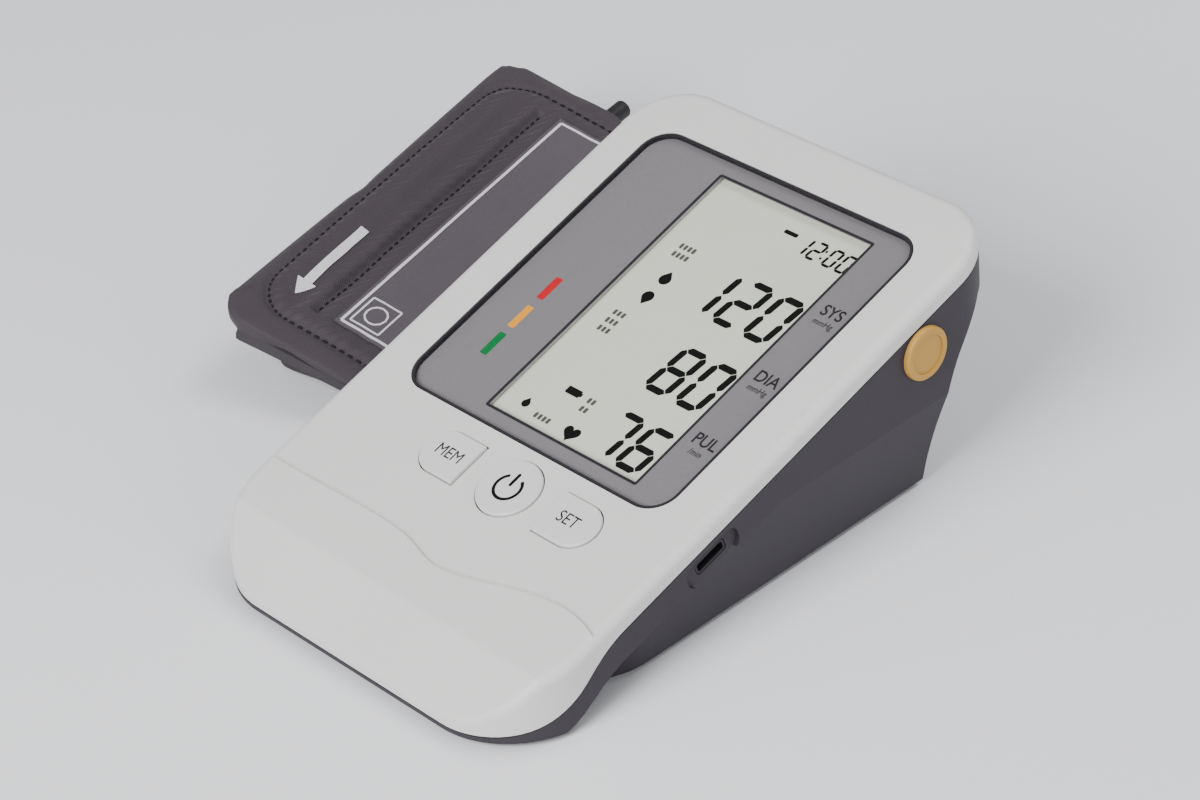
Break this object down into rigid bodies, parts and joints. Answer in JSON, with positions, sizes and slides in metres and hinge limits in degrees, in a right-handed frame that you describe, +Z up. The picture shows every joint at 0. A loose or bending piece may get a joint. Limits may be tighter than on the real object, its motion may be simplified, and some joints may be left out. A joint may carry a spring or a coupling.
{
  "type": "upper arm blood pressure monitor",
  "caption": "Wedge-shaped desk unit with a sloping display window, three keys, a battery door and a side air port, and a folded upper arm cuff beside it.",
  "frame": {"origin": "on the table, under the middle of the desk unit", "axes": "+X to the user's right, +Y away from the user, +Z up"},
  "size_m": [0.188, 0.1898, 0.0584],
  "materials": {
    "light_casing": "fine matt moulded",
    "dark_casing": "fine matt moulded",
    "lens": "clear acrylic",
    "mask": "printed grey film",
    "lcd": "polarised glass",
    "reflector": "white film",
    "holder": "moulded",
    "keys": "fine matt moulded",
    "silicone": "silicone",
    "board": "solder mask",
    "chips": "moulded",
    "steel": "nickel plated",
    "amber": "satin moulded",
    "cells": "printed sleeve",
    "feet": "matt",
    "nylon": "woven nylon",
    "patch": "smooth printed nylon",
    "bladder": "sheet",
    "nipple": "moulded"
  },
  "bodies": {
    "desk_unit": {"top_casing": "light_casing", "bottom_casing": "dark_casing", "display_lens": "lens", "display_mask": "mask", "lcd_glass": "lcd", "lcd_reflector": "reflector", "lcd_holder": "holder", "key_mat": "silicone", "main_board": "board", "board_chips": "chips", "pressure_sensor": "chips", "buzzer": "chips", "pump_motor": "steel", "pump_head": "holder", "release_valve": "steel", "air_manifold": "silicone", "air_socket": "dark_casing", "power_socket": "steel", "battery_bay": "holder", "battery_cells": "cells", "battery_springs": "steel", "battery_plates": "steel", "rubber_feet": "feet", "casing_screws": "steel"},
    "memory_key": {"memory_key": "keys"},
    "power_key": {"power_key": "keys"},
    "set_key": {"set_key": "keys"},
    "air_plug": {"air_plug": "amber"},
    "battery_door": {"battery_door": "dark_casing"},
    "cuff": {"cuff_lower_layer": "nylon", "cuff_middle_layer": "nylon", "cuff_bladder": "bladder", "cuff_nipple": "nipple"},
    "cuff_flap": {"cuff_top_layer": "nylon", "cuff_label_patch": "patch"}
  },
  "joints": [
    {"name": "memory_key_press", "type": "slide", "parent": "desk_unit", "child": "memory_key", "axis": [0, 0.2924, -0.9563], "range_m": [0, 0.0008], "stiffness_N_per_m": 900},
    {"name": "power_key_press", "type": "slide", "parent": "desk_unit", "child": "power_key", "axis": [0, 0.2924, -0.9563], "range_m": [0, 0.0008], "stiffness_N_per_m": 900},
    {"name": "set_key_press", "type": "slide", "parent": "desk_unit", "child": "set_key", "axis": [0, 0.2924, -0.9563], "range_m": [0, 0.0008], "stiffness_N_per_m": 900},
    {"name": "air_plug_pull", "type": "slide", "parent": "desk_unit", "child": "air_plug", "axis": [1, 0, 0], "range_m": [0, 0.015]},
    {"name": "battery_door_hinge", "type": "hinge", "parent": "desk_unit", "child": "battery_door", "pos_m": [0, 0.0428, 0.0023], "axis": [1, 0, 0], "range_deg": [0, 80]},
    {"name": "cuff_move", "type": "slide", "parent": "desk_unit", "child": "cuff", "axis": [-1, 0, 0], "range_m": [0, 0.06]},
    {"name": "cuff_flap_fold", "type": "hinge", "parent": "cuff", "child": "cuff_flap", "pos_m": [-0.0575, -0.013, 0.00533], "axis": [0.9627, 0.2046, -0.1772], "range_deg": [0, 70]}
  ]
}
